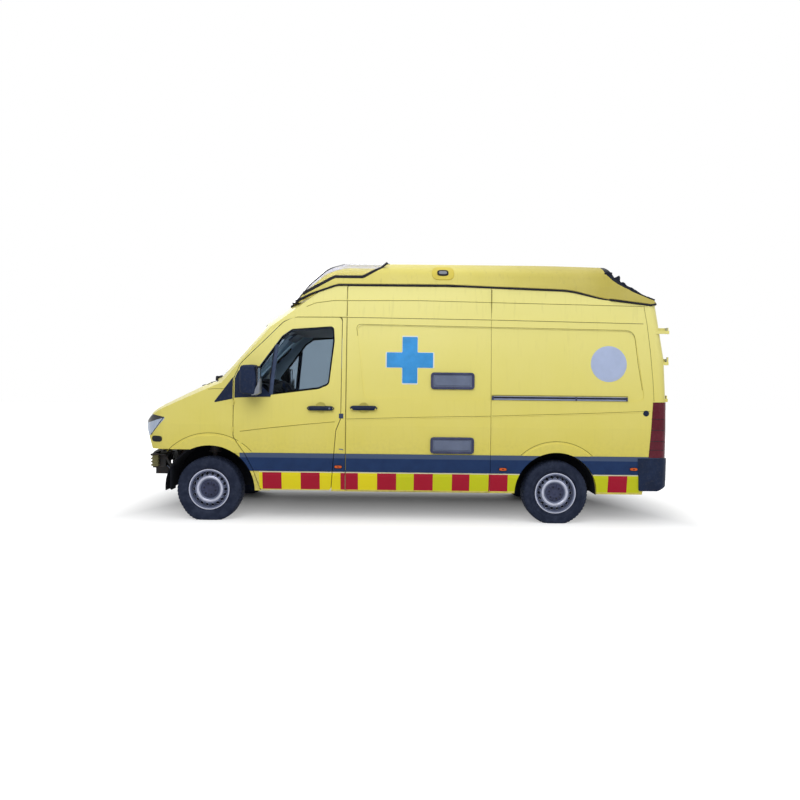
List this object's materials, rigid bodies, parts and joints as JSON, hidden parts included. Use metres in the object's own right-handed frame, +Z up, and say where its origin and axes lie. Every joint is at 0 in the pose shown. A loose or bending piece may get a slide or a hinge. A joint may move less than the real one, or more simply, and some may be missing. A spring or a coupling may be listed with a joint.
{
  "type": "ambulance van",
  "caption": "High-roof panel van fitted as an ambulance, with hinged cab and rear doors, lifting bonnet, steered front wheels and rolling wheels; front bumper cover missing.",
  "frame": {"origin": "middle of the footprint on the ground", "axes": "+X to the front of the van, +Y to its left, +Z up"},
  "size_m": [5.7554, 2.426, 2.8],
  "materials": {
    "body_yellow": "gloss",
    "dark_plastic": "satin",
    "black_plastic": "matt",
    "underbody_black": "matt",
    "window_glass": "clear",
    "headlamp_clear": "clear",
    "pod_clear": "clear",
    "lamp_red": "gloss",
    "bare_iron": "rough",
    "radiator_alloy": "dull",
    "grey_board": "matt",
    "seat_cloth": "woven",
    "tyre": "matt",
    "wheel_silver": "satin"
  },
  "bodies": {
    "van_body": {"wings": "body_yellow", "cab_frame": "body_yellow", "side_left": "body_yellow", "side_right": "body_yellow", "sliding_doors": "body_yellow", "rear_frame": "body_yellow", "roof_pod": "body_yellow", "rear_bumper": "dark_plastic", "door_rails": "dark_plastic", "lamp_housings": "black_plastic", "front_panel": "black_plastic", "grille": "black_plastic", "cowl": "black_plastic", "arch_liners": "black_plastic", "dashboard": "black_plastic", "steering_wheel": "black_plastic", "floor": "underbody_black", "chassis": "underbody_black", "firewall": "underbody_black", "crash_beam": "underbody_black", "underbody": "underbody_black", "rear_axle": "underbody_black", "front_suspension": "underbody_black", "windscreen": "window_glass", "headlamps": "headlamp_clear", "pod_lens": "pod_clear", "tail_lamps": "lamp_red", "engine": "bare_iron", "radiator": "radiator_alloy", "bulkhead": "grey_board", "door_covers": "grey_board", "seats": "seat_cloth"},
    "cab_door_left": {"cab_door_left": "body_yellow", "cab_glass_left": "window_glass", "mirror_left": "dark_plastic"},
    "cab_door_right": {"cab_door_right": "body_yellow", "cab_glass_right": "window_glass", "mirror_right": "dark_plastic"},
    "rear_door_left": {"rear_door_left": "body_yellow", "rear_glass_left": "window_glass"},
    "rear_door_right": {"rear_door_right": "body_yellow", "rear_glass_right": "window_glass"},
    "bonnet": {"bonnet": "body_yellow"},
    "knuckle_left": {"knuckle_left": "underbody_black"},
    "knuckle_right": {"knuckle_right": "underbody_black"},
    "wheel_front_left": {"tyre_front_left": "tyre", "rim_front_left": "wheel_silver"},
    "wheel_front_right": {"tyre_front_right": "tyre", "rim_front_right": "wheel_silver"},
    "wheel_rear_left": {"tyre_rear_left": "tyre", "rim_rear_left": "wheel_silver"},
    "wheel_rear_right": {"tyre_rear_right": "tyre", "rim_rear_right": "wheel_silver"}
  },
  "joints": [
    {"name": "cab_door_left_hinge", "type": "hinge", "parent": "van_body", "child": "cab_door_left", "pos_m": [1.76885, 1.003, 1.1], "axis": [0, 0, -1], "range_deg": [0, 70]},
    {"name": "cab_door_right_hinge", "type": "hinge", "parent": "van_body", "child": "cab_door_right", "pos_m": [1.76885, -1.003, 1.1], "axis": [0, 0, 1], "range_deg": [0, 70]},
    {"name": "rear_door_left_hinge", "type": "hinge", "parent": "van_body", "child": "rear_door_left", "pos_m": [-2.81866, 0.8775, 1.5], "axis": [0, 0, -1], "range_deg": [0, 170]},
    {"name": "rear_door_right_hinge", "type": "hinge", "parent": "van_body", "child": "rear_door_right", "pos_m": [-2.81866, -0.8775, 1.5], "axis": [0, 0, 1], "range_deg": [0, 170]},
    {"name": "bonnet_hinge", "type": "hinge", "parent": "van_body", "child": "bonnet", "pos_m": [2.05534, 0, 1.42], "axis": [0, -1, 0], "range_deg": [0, 60]},
    {"name": "steer_left", "type": "hinge", "parent": "van_body", "child": "knuckle_left", "pos_m": [2.02734, 0.7, 0.318], "axis": [0, 0, 1], "range_deg": [-35, 35]},
    {"name": "steer_right", "type": "hinge", "parent": "van_body", "child": "knuckle_right", "pos_m": [2.02734, -0.7, 0.318], "axis": [0, 0, 1], "range_deg": [-35, 35]},
    {"name": "roll_front_left", "type": "hinge", "parent": "knuckle_left", "child": "wheel_front_left", "pos_m": [2.02734, 0.855, 0.318], "axis": [0, 1, 0], "continuous": true},
    {"name": "roll_front_right", "type": "hinge", "parent": "knuckle_right", "child": "wheel_front_right", "pos_m": [2.02734, -0.855, 0.318], "axis": [0, 1, 0], "continuous": true},
    {"name": "roll_rear_left", "type": "hinge", "parent": "van_body", "child": "wheel_rear_left", "pos_m": [-1.63766, 0.855, 0.318], "axis": [0, 1, 0], "continuous": true},
    {"name": "roll_rear_right", "type": "hinge", "parent": "van_body", "child": "wheel_rear_right", "pos_m": [-1.63766, -0.855, 0.318], "axis": [0, 1, 0], "continuous": true}
  ],
  "couplings": [
    {"joint": "steer_right", "follows": "steer_left", "ratio": 1}
  ]
}
